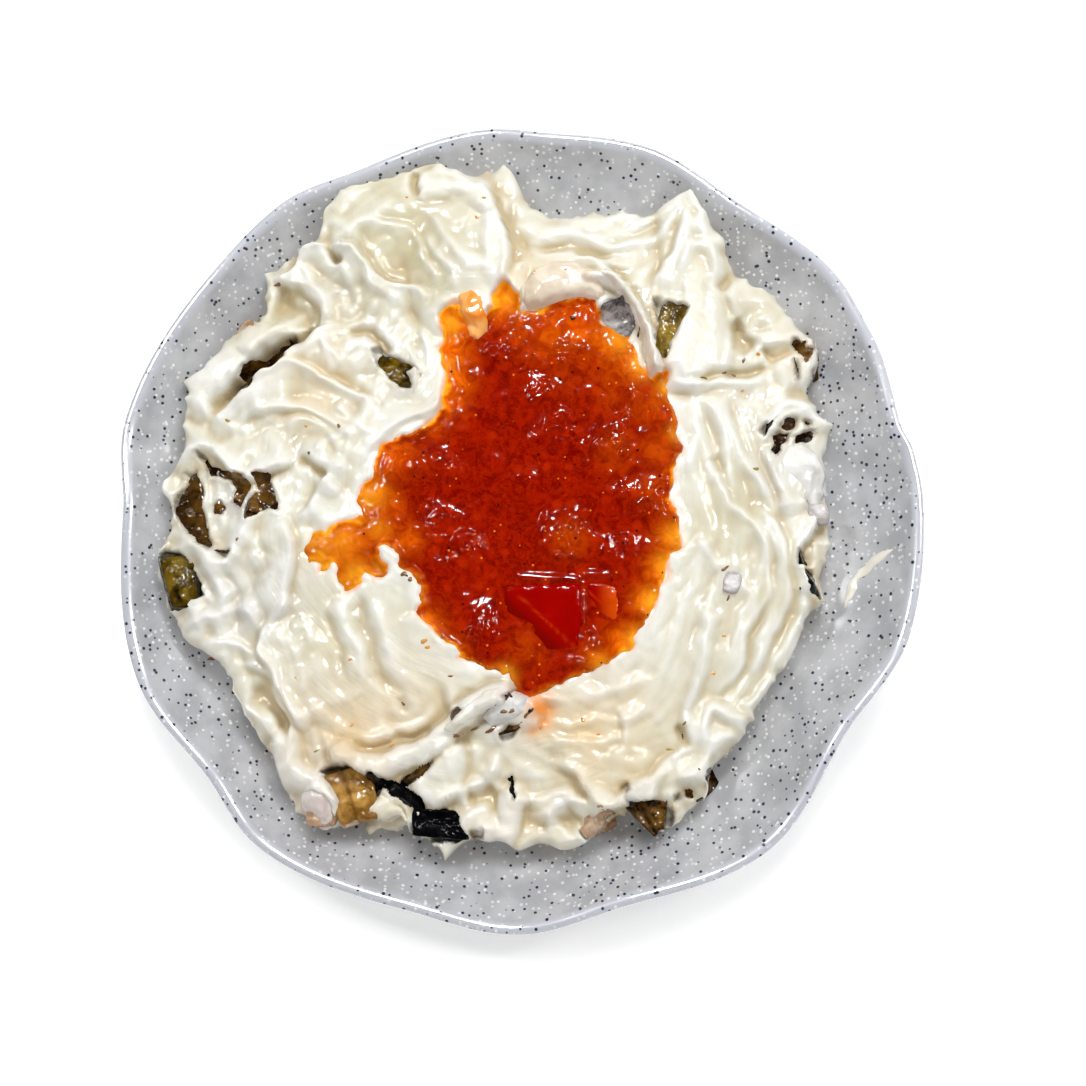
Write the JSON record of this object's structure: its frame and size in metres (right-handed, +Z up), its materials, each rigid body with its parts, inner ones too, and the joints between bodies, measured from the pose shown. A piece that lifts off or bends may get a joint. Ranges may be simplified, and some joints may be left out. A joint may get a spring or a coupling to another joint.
{
  "type": "dish of fried eggplant with yogurt",
  "caption": "Mound of spooned thick yogurt with fried eggplant in it and a pool of cooked tomato sauce on top, on a speckled plate with a wavy rim.",
  "frame": {"origin": "centre of the plate, at the level its foot stands on", "axes": "+Z up, +Y towards the side of the rim that the mound comes closest to, +X to its right"},
  "size_m": [0.1989, 0.2003, 0.0316],
  "materials": {
    "plate": "glossy grey with fine black and white speckles and a paler rim",
    "yogurt": "thick strained yogurt, moist, cream in the hollows",
    "sauce": "oily cooked tomato sauce, red with orange edges, wet",
    "tomato": "soft cooked tomato, wet",
    "eggplant_flesh": "fried eggplant flesh, oily, fibrous, streaked with yogurt",
    "eggplant_skin": "fried eggplant skin, nearly black, oily"
  },
  "bodies": {
    "root": {"plate": "plate", "yogurt": "yogurt", "sauce": "sauce", "tomato_large": "tomato", "tomato_right": "tomato", "eggplant_left_large": "eggplant_flesh", "eggplant_left_edge": "eggplant_flesh", "eggplant_left_strip": "eggplant_flesh", "eggplant_left_bit": "eggplant_flesh", "eggplant_crown_left": "eggplant_flesh", "eggplant_foot_golden": "eggplant_flesh", "eggplant_foot_pale": "eggplant_flesh", "eggplant_foot_skin": "eggplant_skin", "eggplant_foot_black": "eggplant_skin", "eggplant_foot_small": "eggplant_flesh", "eggplant_below_pool": "eggplant_flesh", "eggplant_front_slit": "eggplant_skin", "eggplant_front_tan": "eggplant_flesh", "eggplant_front_dark": "eggplant_flesh", "eggplant_front_right": "eggplant_flesh", "eggplant_right_upper": "eggplant_flesh", "eggplant_right_knob": "eggplant_flesh", "eggplant_right_dark": "eggplant_skin", "eggplant_right_top": "eggplant_flesh", "eggplant_pool_right": "eggplant_flesh", "eggplant_pool_top": "eggplant_flesh", "eggplant_right_small": "eggplant_flesh"}
  },
  "joints": []
}
